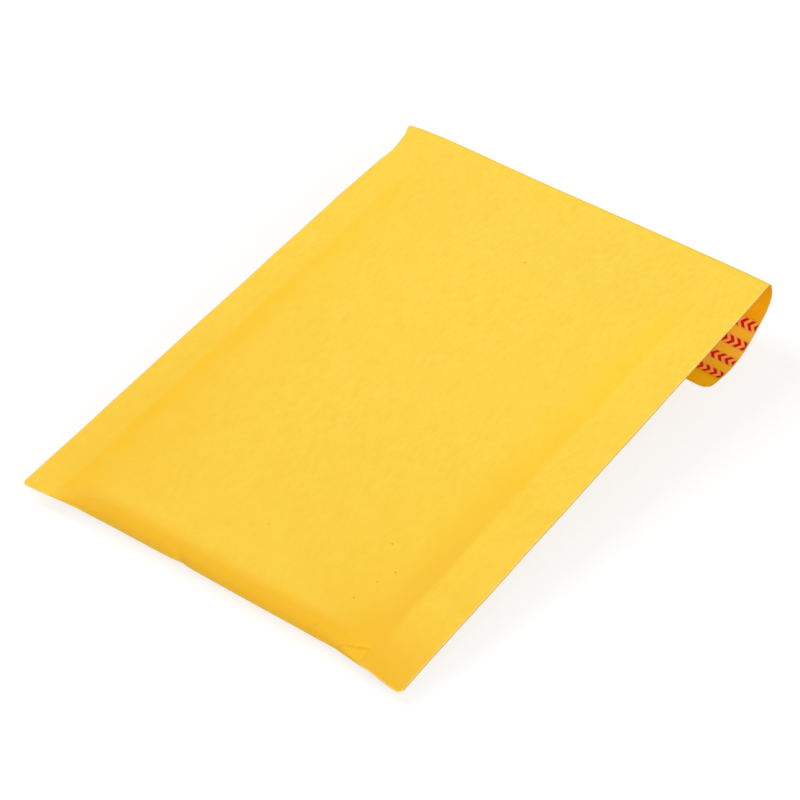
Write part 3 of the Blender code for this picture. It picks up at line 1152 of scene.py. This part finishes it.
@dataclass(frozen=True)
class FloorFinish:
    """Plain pale floor that looks white and keeps the object's shadow."""

    albedo: float = 0.80
    seen_albedo: float = 0.33
    lift: float = 0.71
    near: float = 0.45
    far: float = 1.60
    rough: float = 0.9

    def build(self) -> Material:
        """Make the material: a matt floor, lifted towards white for what sees it straight.

        The lift grows to full white between two distances from the object.

        Returns:
            The floor's material.
        """
        graph = NodeGraph("studio_floor")
        graph.set("Roughness", self.rough)
        graph.set("Specular IOR Level", 0.0)
        path = graph.node("ShaderNodeLightPath").outputs
        seen = graph.math("MAXIMUM", path["Is Camera Ray"], path["Is Glossy Ray"])
        seen = graph.math("MAXIMUM", seen, path["Is Transmission Ray"])
        away = graph.vector("LENGTH", graph.position())
        shown = graph.ramp(away, self.near, self.far, self.seen_albedo, 0.0)
        bare = graph.math("MULTIPLY", graph.math("SUBTRACT", shown, self.albedo), seen)
        graph.set("Base Color", graph.math("ADD", bare, self.albedo))
        glow = graph.ramp(away, self.near, self.far, self.lift, 1.0)
        graph.set("Emission Color", (1.0, 1.0, 1.0, 1.0))
        graph.set("Emission Strength", graph.math("MULTIPLY", seen, glow))
        return graph.material


@dataclass(frozen=True)
class KraftTones:
    """Weights and reaches of the tones that are painted over the kraft sheet, most of them
    painted shade and painted shadow.
    """

    form: PouchForm
    rim_width: float = 0.00032
    rim_weight: float = 0.75
    fold_weight: float = 0.95
    fold_share: float = 1.15
    bottom_weight: float = 0.32
    bottom_reach: float = 0.170
    side_weight: float = 0.10
    side_start: float = 0.015
    side_reach: float = 0.030
    corner_weight: float = 0.70
    corner: Pair = (0.056, -0.001)
    corner_reach: float = 0.0185
    crease_painted_shade: float = 900.0
    crease_painted_shadow: float = 320.0
    crease_share: float = 0.5
    probe: float = 0.0004
    steepest: float = 0.5
    slope_start: float = 0.006
    left_painted_shade: float = 2.7
    left_start: float = 0.003
    seal_painted_shade: float = 0.12
    seal_reach: float = 0.004
    seal_end: float = 0.10
    seal_fade: float = 0.08
    right_painted_shade: float = 1.5
    right_painted_shadow: float = 1.8
    painted_shadow_reach: float = 0.150
    left_seam: float = 0.45
    left_seam_width: float = 0.00016
    fold_painted_shadow: float = 0.55
    fold_rim: float = 0.40
    fold_rim_start: float = 0.0003
    fold_rim_end: float = 0.0008
    fold_rim_fade: float = 0.0004

    def rim(self, edge: Grid) -> Grid:
        """Paling beside a cut edge, from the distance to it."""
        return self.rim_weight * smooth(1.0 - edge / self.rim_width)

    def fold(self, past: Grid, over: Grid) -> Grid:
        """Painted shade in the fold, an eased share of the way left to its edge."""
        reach = self.fold_share * self.form.fold_radius
        return self.fold_weight * smooth(1.0 - past / reach) * over

    def front_painted_shade(self, x: Grid, l: Grid) -> Grid:
        """Further painted shade on the front.

        It grows evenly towards the bottom and the left side and, in a bell, towards the lower
        right corner, and follows the depth of the creases.

        Args:
            x: places across.
            l: places along.

        Returns:
            What is added to the fold's painted shade.
        """
        bottom = self.bottom_weight * (1.0 - smooth(l / self.bottom_reach))
        side = self.side_weight * smooth((-x - self.side_start) / self.side_reach)
        away = np.hypot(x - self.corner[0], l - self.corner[1])
        corner = self.corner_weight * bell(away, self.corner_reach)
        pressed = self.form.pressed(x, l, self.crease_share)
        return bottom + side + corner + self.crease_painted_shade * pressed

    def slopes(self, x: Grid, l: Grid, past: Grid) -> tuple[Grid, Grid]:
        """Painted shade on the front's two slopes, which follows their steepness.

        The left slope gets the most, with a faint patch that runs onto its seal. The right one,
        which is turned from the light, gets less, and a darker painted shadow towards the bottom.

        Args:
            x: places across.
            l: places along.
            past: ways past the bottom fold.

        Returns:
            The slopes' painted shade and the right slope's painted shadow.
        """
        height, probe = self.form.front_height, self.probe
        rise = (height(x + probe, l) - height(x - probe, l)) / (2 * probe)
        steep = np.clip(np.abs(rise), 0.0, self.steepest) * smooth(past / self.slope_start)
        left, off = x < self.form.pocket_centre, self.form.off_seal(x)
        seal = self.seal_painted_shade * bell(off, self.seal_reach)
        # painted shade on the left slope and faintly on its seal
        glow = self.left_painted_shade * steep * smooth(off / self.left_start)
        glow = glow + seal * (1.0 - smooth((l - self.seal_end) / self.seal_fade))
        low = 1.0 - smooth(l / self.painted_shadow_reach)
        # painted shadow on the right slope, darker towards the bottom
        dusk = np.where(left, 0.0, self.right_painted_shadow) * steep * low
        return np.where(left, glow, self.right_painted_shade * steep), dusk

    def front(self, x: Grid, l: Grid) -> dict[str, Grid]:
        """Tones of the front panel.

        Args:
            x: places across.
            l: places along.

        Returns:
            Values of the skin's attributes.
        """
        form = self.form
        past, over = l - form.fold_line(x), form.back_share(x, l)
        edge = form.half_width - np.abs(x)
        # painted shade in the fold and over the front
        deep = np.clip(self.fold(past, over) + self.front_painted_shade(x, l), 0.0, 1.0)
        warm, dusk = self.slopes(x, l, past)
        seam = self.left_seam * (1.0 - smooth(edge / self.left_seam_width)) * (x < 0.0)
        # painted shadow along the creases
        seam = seam + self.crease_painted_shadow * form.pressed(x, l, self.crease_share)
        rim = self.rim(np.minimum(edge, past + over))
        return {"deep": deep, "warm": warm, "dusk": dusk, "rim": rim, "seam": seam}

    def back(self, x: Grid, l: Grid) -> dict[str, Grid]:
        """Tones of the back panel: painted shade in its fold, a painted shadow line at the foot
        of its seals and a pale line along its fold.

        Args:
            x: places across.
            l: places along.

        Returns:
            Values of the skin's attributes.
        """
        form = self.form
        past, over = l - form.fold_line(x), form.back_share(x, l)
        edge = form.half_width - np.abs(x)
        # painted shadow along the foot of the seals
        seam = self.fold_painted_shadow * (1.0 - over) ** 4 * (1.0 - smooth(past / form.paper))
        line = smooth(past / self.fold_rim_start)
        line = line * (1.0 - smooth((past - self.fold_rim_end) / self.fold_rim_fade))
        rim = self.rim(np.minimum(edge, past + over)) + self.fold_rim * over * line
        return {"deep": np.clip(self.fold(past, over), 0.0, 1.0), "rim": rim, "seam": seam}


@dataclass(frozen=True)
class KraftSheet:
    """The folded and sealed paper: pouch, pocket and flap in one closed shell."""

    form: PouchForm
    curl: FlapCurl
    pose: Pose
    finish: KraftFinish
    panel_steps: int = 150
    pocket_steps: int = 22
    edge_shares: Values = (0.0, 0.40, 0.5, 0.60, 1.0)
    edge_seam: Values = (0.0, 0.0, 1.0, 0.0, 0.0)
    tail_start: float = 0.026
    tail_reach: float = 0.016
    spots: Line = (
        (0.0347, 0.0390), (0.0412, 0.0312), (0.0375, 0.0170), (0.0393, 0.0254),
        (0.0003, 0.1588),
    )

    def spot_places(self) -> Grid:
        """Places of the single specks on the front panel, in the frame."""
        x, l = np.array(self.spots).T
        return self.pose.place(np.stack([x, l, self.form.front_height(x, l)], -1))

    def pocket(self) -> tuple[Grid, Grid]:
        """Inner faces of the two panels.

        Returns:
            Points of the inner front and back.
        """
        form = self.form
        shares = form.rows(self.pocket_steps, False)
        x, l = form.panel(form.pocket_columns(), shares, form.paper)
        heights = (form.front_height(x, l, True), form.back_height(x, l, True))
        return form.settle(x, l, l, heights[0]), form.settle(x, l, l, heights[1])

    def flap(self) -> tuple[Grid, Grid]:
        """Outside and inside faces of the flap, from the mouth to the free end.

        Returns:
            Points of the two faces, one paper thickness apart along the outward direction.
        """
        form, curl = self.form, self.curl
        columns = form.columns()
        reach = curl.length - form.corner_inset(columns, curl.corner, curl.corner)
        along = reach[None, :] * curl.stations()[:, None]
        place, outward = curl.path(along, form.body_length)
        x = np.broadcast_to(columns, along.shape)
        mouth_l = np.full((1, len(columns)), form.mouth_line)
        faces = []
        for lift in (form.paper, 0.0):
            spot = place + lift * outward
            bent = form.settle(x, form.body_length + along, spot[..., 0], spot[..., 1])
            level = np.full_like(mouth_l, lift)
            mouth = form.settle(columns[None, :], mouth_l, mouth_l, level)
            faces.append(np.concatenate([mouth, bent]))
        return faces[0], faces[1]

    def add_body(self, shell: ShellMesh, tones: KraftTones) -> tuple[Grid, Grid]:
        """Add the outer faces of the two panels.

        Args:
            shell: the mesh.
            tones: tones of the paper.

        Returns:
            Points of the outer front and back.
        """
        form = self.form
        x, l = form.panel(form.columns(), form.rows(self.panel_steps, True), 0.0)
        front = form.settle(x, l, l, form.front_height(x, l))
        back = form.settle(x, l, l, form.back_height(x, l))
        shell.add(front, PaperSide.OUTSIDE.value, tones.front(x, l))
        shell.add(back, PaperSide.OUTSIDE.value, tones.back(x, l))
        return front, back

    def add_flap(self, shell: ShellMesh, tones: KraftTones) -> tuple[Grid, Grid]:
        """Add the two faces of the flap.

        Args:
            shell: the mesh.
            tones: tones of the paper.

        Returns:
            Points of the flap's outside and inside face.
        """
        out, inner = self.flap()
        rim = tones.rim(self.form.half_width - np.abs(self.form.columns()))
        along = np.concatenate([[0.0], self.curl.stations()]) * self.curl.length
        # painted light: the tail of the flap's inside is painted brighter
        tail = smooth((along - self.tail_start) / self.tail_reach)
        shell.add(out, PaperSide.OUTSIDE.value, {"rim": rim})
        shell.add(inner, PaperSide.INSIDE.value, {"rim": rim, "deep": tail[:, None]})
        return out, inner

    def add_edges(
        self, shell: ShellMesh, body: tuple[Grid, Grid], flap: tuple[Grid, Grid]
    ) -> None:
        """Add the cut edges down both sides and across the flap's free end.

        The edge of the sealed body has stations close beside its middle line, where a dark
        seam shows between the two layers.

        Args:
            shell: the mesh.
            body: points of the outer front and back.
            flap: points of the flap's outside and inside face.
        """
        shares, seam = (np.array(row)[:, None] for row in (self.edge_shares, self.edge_seam))
        for side in (0, -1):
            upper, lower = (face[:, side] for face in body)
            strip = upper + (lower - upper) * shares[..., None]
            shell.add(strip, PaperSide.CUT_EDGE.value, {"seam": seam})
            shell.add(np.stack([face[:, side] for face in flap]), PaperSide.CUT_EDGE.value)
        shell.add(np.stack([face[-1] for face in flap]), PaperSide.CUT_EDGE.value)

    def build(self) -> bpy.types.Object:
        """Make the skin and dress it.

        Returns:
            The finished piece.
        """
        form, finish, tones = self.form, self.finish, KraftTones(self.form)
        shell = ShellMesh("kraft_skin", ("deep", "rim", "seam", "warm", "dusk"))
        body = self.add_body(shell, tones)
        flap = self.add_flap(shell, tones)
        pocket = self.pocket()
        for inner in pocket:
            shell.add(inner, PaperSide.INSIDE.value)
        self.add_edges(shell, body, flap)
        first = np.argmin(np.abs(form.columns() - form.pocket_columns()[0]))
        rim_line = flap[1][0].copy()
        rim_line[first:first + pocket[1].shape[1]] = pocket[1][-1]
        shell.add(np.stack([body[1][-1], rim_line]), PaperSide.CUT_EDGE.value)
        materials = [finish.outside(self.spot_places()), finish.inside(), finish.cut_edge()]
        piece = shell.build(materials, self.pose)
        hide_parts(Solid.KRAFT.value)
        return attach(piece, "root")


@dataclass(frozen=True)
class BubbleLining:
    """The folded bubble film: a flat hairpin with staggered domes on both of its faces."""

    form: PouchForm
    pose: Pose
    finish: FilmFinish
    film: float = 0.00035
    gap: float = 0.0008
    clearance: float = 0.0003
    setback: float = 0.0030
    mouth_margin: float = 0.030
    dome_radius: float = 0.0047
    dome_height: float = 0.0031
    pitch: float = 0.0114
    stagger: float = 60.0
    columns: int = 12
    least: float = 0.0006
    sectors: int = 12
    rings: int = 4
    bend_steps: int = 16
    run_steps: int = 40
    samples: tuple[int, int, int] = (4000, 300, 400)
    sharp: float = 40.0

    @property
    def outside(self) -> float:
        """Distance of the film's outer face from the lining's middle."""
        return self.gap / 2 + self.film

    def span(self) -> tuple[float, float, float]:
        """Start, end and half width of the film.

        Returns:
            Lengths at which the film starts and ends, and half of its width.
        """
        form = self.form
        l = np.linspace(0.0, form.fold_recess + form.fold_radius, self.samples[0])
        x = np.full_like(l, form.pocket_centre)
        room = np.minimum(form.front_height(x, l, True), -form.back_height(x, l, True))
        start = float(l[np.argmax(room > self.outside + self.clearance)]) + self.clearance
        return start, form.mouth_line - self.setback, self.half_width(start)

    def half_width(self, start: float) -> float:
        """Half width at which the flat film still clears the slopes of both panels.

        Args:
            start: length at which the film starts.

        Returns:
            Half of the film's width.
        """
        form, (_, rows, columns) = self.form, self.samples
        end = form.mouth_line - self.mouth_margin
        l = np.linspace(start + self.outside, end, rows)[:, None]
        across = np.linspace(0.0, form.pocket_half, columns)[None, :]
        clear = np.ones(across.shape[1], bool)
        for sign in (-1.0, 1.0):
            x = form.pocket_centre + sign * across + 0.0 * l
            above = form.front_height(x, l, True) - self.outside + form.mid_drop(l)
            below = -self.outside - form.mid_drop(l) - form.back_height(x, l, True)
            clear &= (np.minimum(above, below) > self.clearance).all(axis=0)
        return float(across[0, np.argmin(clear) - 1])

    def outline(self, start: float, end: float) -> Grid:
        """Side view of the film: two flat runs joined by a half circle.

        Args:
            start: length of the fold.
            end: length of the two free ends.

        Returns:
            Points of the outer and the inner line, as l and m.
        """
        turn = np.radians(between(90.0, 270.0, self.bend_steps))
        centre = start + self.outside
        runs = between(end, centre, self.run_steps)[:-1]
        parts = []
        for half in (self.outside, self.gap / 2):
            bend = np.stack([centre + half * np.cos(turn), half * np.sin(turn)], -1)
            top = np.stack([runs, np.full_like(runs, half)], -1)
            low = np.stack([runs[::-1], np.full_like(runs, -half)], -1)
            parts.append(np.concatenate([top, bend, low]))
        outline = np.stack(parts)
        outline[..., 1] -= self.form.mid_drop(outline[..., 0])
        return outline

    def places(self, start: float, end: float, half: float) -> Grid:
        """Centres of the domes of one face, in staggered rows.

        Args:
            start: length at which the film starts.
            end: length at which it ends.
            half: half of its width.

        Returns:
            Places as x and l.
        """
        row_pitch = self.pitch * math.sin(math.radians(self.stagger))
        first = start + self.outside + self.dome_radius
        rows = np.arange(int((end - self.dome_radius - first) / row_pitch) + 1)
        columns = np.arange(-self.columns, self.columns + 1)
        x = columns[None, :] * self.pitch + (rows % 2)[:, None] * self.pitch / 2
        l = np.broadcast_to((first + rows * row_pitch)[:, None], x.shape)
        kept = np.abs(x) <= half - self.dome_radius
        return np.stack([self.form.pocket_centre + x[kept], l[kept]], -1)

    def domes(self, centres: Grid, side: float) -> Grid:
        """Domes of one face as a stack of grids.

        A dome rises as the fourth root of 1 less the fourth power of the way out, times its
        height, which is its full one or the room that the paper leaves it. A flat foot, sunk
        half way into the film, closes it.

        Args:
            centres: places of the domes.
            side: 1 for the front face and -1 for the back one.

        Returns:
            Domes by rings by sectors by 3.
        """
        form = self.form
        turn = np.linspace(0.0, 2.0 * math.pi, self.sectors + 1)
        out = np.concatenate([[0.0], np.sin(np.radians(between(0.0, 90.0, self.rings)))])
        rise = np.concatenate([[-1.0], (1.0 - out[1:] ** 4) ** 0.25])
        radius = self.dome_radius * np.concatenate([out, [1.0]])[:, None]
        rise = np.concatenate([rise, [-1.0]])[:, None]
        order = [*range(1, self.rings + 3), 0]
        radius, rise = radius[order], rise[order]
        x = centres[:, 0, None, None] + radius * np.cos(turn)
        l = centres[:, 1, None, None] + radius * np.sin(turn)
        panel = form.front_height if side > 0 else form.back_height
        room = side * (panel(x, l, True) + form.mid_drop(l)) - self.outside - self.clearance
        height = np.minimum(self.dome_height, room.min(axis=(1, 2)))
        lift = np.where(rise < 0.0, -self.film / 2, rise * height[:, None, None])
        m = side * (self.outside + lift) - form.mid_drop(centres[:, 1])[:, None, None]
        points = np.stack([x, l, np.broadcast_to(m, x.shape)], -1)
        return points[height >= self.least]

    def build(self) -> bpy.types.Object:
        """Make the lining and dress it.

        Returns:
            The finished piece.
        """
        start, end, half = self.span()
        outline = self.outline(start, end)
        across = self.form.pocket_centre + np.array([-half, half])[:, None, None, None]
        lines = np.broadcast_to(outline, (2, *outline.shape))
        sheet = np.concatenate([np.broadcast_to(across, (*lines.shape[:-1], 1)), lines], -1)
        shell = ShellMesh("bubble_film")
        faces = (sheet[:, 0], sheet[:, 1], sheet[0], sheet[1], sheet[:, :, 0], sheet[:, :, -1])
        for face in faces:
            shell.add(face)
        centres = self.places(start, end, half)
        for side in (1.0, -1.0):
            shell.add(self.domes(centres, side))
        piece = shell.build([self.finish.build()], self.pose, self.sharp)
        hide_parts(Solid.LINING.value)
        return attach(piece, "root")


@dataclass(frozen=True)
class FlapStrip:
    """Thin strip that follows the inside of the flap: the adhesive or the release liner."""

    form: PouchForm
    curl: FlapCurl
    pose: Pose
    solid: Solid
    slot: Slot
    name: str
    start: float
    width: float
    stand_off: float
    thickness: float
    side_margin: float
    columns: int = 60
    rows: int = 64

    def build(self, material: Material) -> bpy.types.Object:
        """Make the strip and dress it.

        The two faces follow the flap's inside face at their own distances from it. The UV
        map holds, in metres, the place across and the way along from the strip's start.

        Args:
            material: the strip's finish.

        Returns:
            The finished piece.
        """
        form = self.form
        columns = between(-1.0, 1.0, self.columns) * (form.half_width - self.side_margin)
        stations = between(self.start, self.start + self.width, self.rows)
        along = stations[:, None] + 0.0 * columns
        x = np.broadcast_to(columns, along.shape)
        place, outward = self.curl.path(along, form.body_length)
        faces = []
        for off in (self.stand_off, self.stand_off + self.thickness):
            spot = place - off * outward
            s = form.body_length + along
            faces.append(form.settle(x, s, spot[..., 0], spot[..., 1]))
        layout = {"across": x, "along": along - self.start}
        shell = ShellMesh(self.name, tuple(layout))
        for face in faces:
            shell.add(face, tones=layout)
        for cut in (np.s_[0, :], np.s_[-1, :], np.s_[:, 0], np.s_[:, -1]):
            border = {key: np.stack([value[cut]] * 2) for key, value in layout.items()}
            shell.add(np.stack([face[cut] for face in faces]), tones=border)
        piece = shell.build([material], self.pose)
        self.lay_out(piece.data)
        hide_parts(self.solid.value)
        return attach(piece, "root")

    def lay_out(self, data: bpy.types.Mesh) -> None:
        """Copy the strip's two attributes into its UV map.

        Args:
            data: the strip's mesh.
        """
        count = len(data.vertices)
        place = np.zeros((count, 2), np.float32)
        for axis, name in enumerate(("across", "along")):
            values = np.zeros(count, np.float32)
            data.attributes[name].data.foreach_get("value", values)
            place[:, axis] = values
        corners = np.zeros(len(data.loops), np.int32)
        data.loops.foreach_get("vertex_index", corners)
        layer = data.uv_layers.new(name="strip")
        layer.data.foreach_set("uv", place[corners].ravel())


@dataclass(frozen=True)
class Lamp:
    """Soft square lamp that looks at the object."""

    name: str
    place: Point
    size: float
    power: float

    def build(self) -> bpy.types.Object:
        """Make the lamp and aim it at the origin.

        Returns:
            The lamp.
        """
        data = bpy.data.lights.new(self.name, "AREA")
        data.size, data.energy = self.size, self.power
        lamp = placed(self.name, data)
        lamp.location = self.place
        lamp.rotation_euler = (-Vector(self.place)).to_track_quat("-Z", "Y").to_euler()
        return lamp


@dataclass(frozen=True)
class Studio:
    """Pale floor, soft light and the camera, whose place was fitted to the photograph."""

    floor_size: float = 6.0
    floor_gap: float = 0.0001
    ambient: float = 0.50
    lamps: tuple[Lamp, ...] = (
        Lamp("key_lamp", (-1.00, 0.15, 0.75), 0.8, 8.5),
        Lamp("front_lamp", (0.62, -1.00, 0.95), 0.7, 2.3),
        Lamp("side_lamp", (1.20, -0.60, 0.40), 0.8, 11.6),
    )
    elevation: float = 40.330945
    azimuth: float = 31.534077
    roll: float = 4.880534
    lens: float = 123.591483
    distance: float = 0.814874
    target: Point = (-0.004804, 0.001568, 0.0)

    def floor(self) -> bpy.types.Object:
        """Make the floor just under the object.

        Returns:
            The floor.
        """
        half = self.floor_size / 2
        corners = [(-half, -half), (half, -half), (half, half), (-half, half)]
        data = bpy.data.meshes.new("floor")
        data.from_pydata([(x, y, -self.floor_gap) for x, y in corners], [], [(0, 1, 2, 3)])
        data.materials.append(FloorFinish().build())
        floor = placed("floor", data)
        return floor

    def world(self) -> None:
        """Make the world: even pale light, and white for what sees it straight."""
        world = bpy.data.worlds.new("studio")
        world.use_nodes = True
        tree = world.node_tree
        back = tree.nodes["Background"]
        back.inputs["Color"].default_value = (1.0, 1.0, 1.0, 1.0)
        path = tree.nodes.new("ShaderNodeLightPath")
        seen = path.outputs["Is Camera Ray"]
        for name in ("Is Glossy Ray", "Is Transmission Ray"):
            either = tree.nodes.new("ShaderNodeMath")
            either.operation = "MAXIMUM"
            tree.links.new(seen, either.inputs[0])
            tree.links.new(path.outputs[name], either.inputs[1])
            seen = either.outputs[0]
        level = tree.nodes.new("ShaderNodeMapRange")
        level.inputs["To Min"].default_value = self.ambient
        tree.links.new(seen, level.inputs["Value"])
        tree.links.new(level.outputs["Result"], back.inputs["Strength"])
        bpy.context.scene.world = world

    def camera(self) -> bpy.types.Object:
        """Make the camera at the photograph's viewing angle.

        The view looks down by the elevation and to the left by the azimuth, at the target,
        from the given distance, and is rolled about its own line.

        Returns:
            The camera.
        """
        e, a, r = (math.radians(v) for v in (self.elevation, self.azimuth, self.roll))
        ahead = Vector((-math.sin(a) * math.cos(e), math.cos(a) * math.cos(e), -math.sin(e)))
        right = Vector((math.cos(a), math.sin(a), 0.0))
        up = right.cross(ahead)
        rolled = right * math.cos(r) + up * math.sin(r)
        upright = up * math.cos(r) - right * math.sin(r)
        data = bpy.data.cameras.new("camera")
        data.lens = self.lens
        camera = placed("camera", data)
        turn = Matrix((rolled, upright, -ahead)).transposed()
        place = Vector(self.target) - ahead * self.distance
        camera.matrix_world = Matrix.Translation(place) @ turn.to_4x4()
        bpy.context.scene.camera = camera
        return camera

    def build(self) -> None:
        """Set up camera, floor, world, lamps and the plain view of colours."""
        self.camera()
        self.floor()
        self.world()
        for lamp in self.lamps:
            lamp.build()
        bpy.context.scene.view_settings.view_transform = "Standard"


def report(piece: bpy.types.Object) -> None:
    """Log a finished piece with its count of triangles."""
    piece.data.calc_loop_triangles()
    LOG.info("%s: %d triangles", piece.name, len(piece.data.loop_triangles))


def main() -> None:
    """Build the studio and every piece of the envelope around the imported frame."""
    logging.basicConfig(level=logging.INFO, format="%(message)s")
    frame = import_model()
    form, curl = PouchForm(), FlapCurl()
    pose = Pose.from_record(frame["record"], form)
    Studio().build()
    report(KraftSheet(form, curl, pose, KraftFinish()).build())
    report(BubbleLining(form, pose, FilmFinish()).build())
    adhesive = FlapStrip(
        form, curl, pose, Solid.ADHESIVE, Slot.ADHESIVE, "adhesive_band",
        start=0.0220, width=0.0160, stand_off=0.00008, thickness=0.0002, side_margin=0.0005,
    )
    report(adhesive.build(AdhesiveFinish().build()))
    liner = FlapStrip(
        form, curl, pose, Solid.LINER, Slot.LINER, "peel_liner",
        start=0.0177, width=0.0257, stand_off=0.00038, thickness=0.0001, side_margin=0.00015,
    )
    report(liner.build(LinerFinish().build()))


if __name__ == "__main__":
    main()
